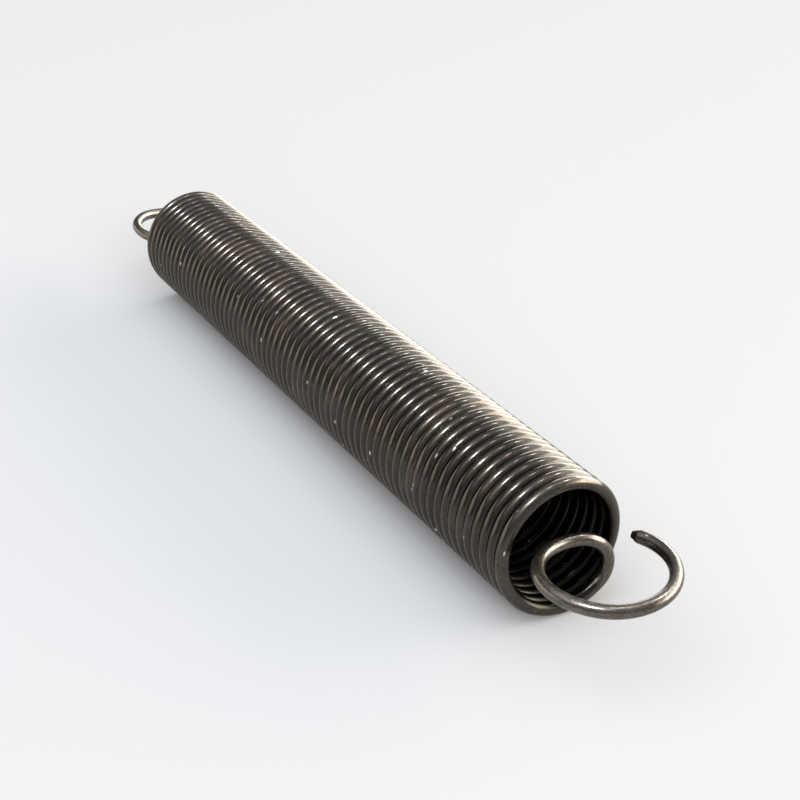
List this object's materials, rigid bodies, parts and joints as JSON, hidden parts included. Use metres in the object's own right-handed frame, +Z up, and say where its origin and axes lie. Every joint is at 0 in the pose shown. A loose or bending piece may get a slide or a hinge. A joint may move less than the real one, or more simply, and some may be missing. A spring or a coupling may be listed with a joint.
{
  "type": "extension spring",
  "caption": "Close-wound extension spring of round steel wire with an eye formed from the wire at each end.",
  "frame": {"origin": "on the surface that the coil lies on, under the middle of the coil's axis", "axes": "+X along the coil's axis towards one eye, +Z up, +Y to the side that both eyes leave the coil on"},
  "size_m": [0.1712, 0.0208, 0.0208],
  "materials": {
    "spring_steel": "oil-tempered, dark brown to black, glossy with faint rust tints and scuffs"
  },
  "bodies": {
    "root": {"spring_wire": "spring_steel"}
  },
  "joints": []
}
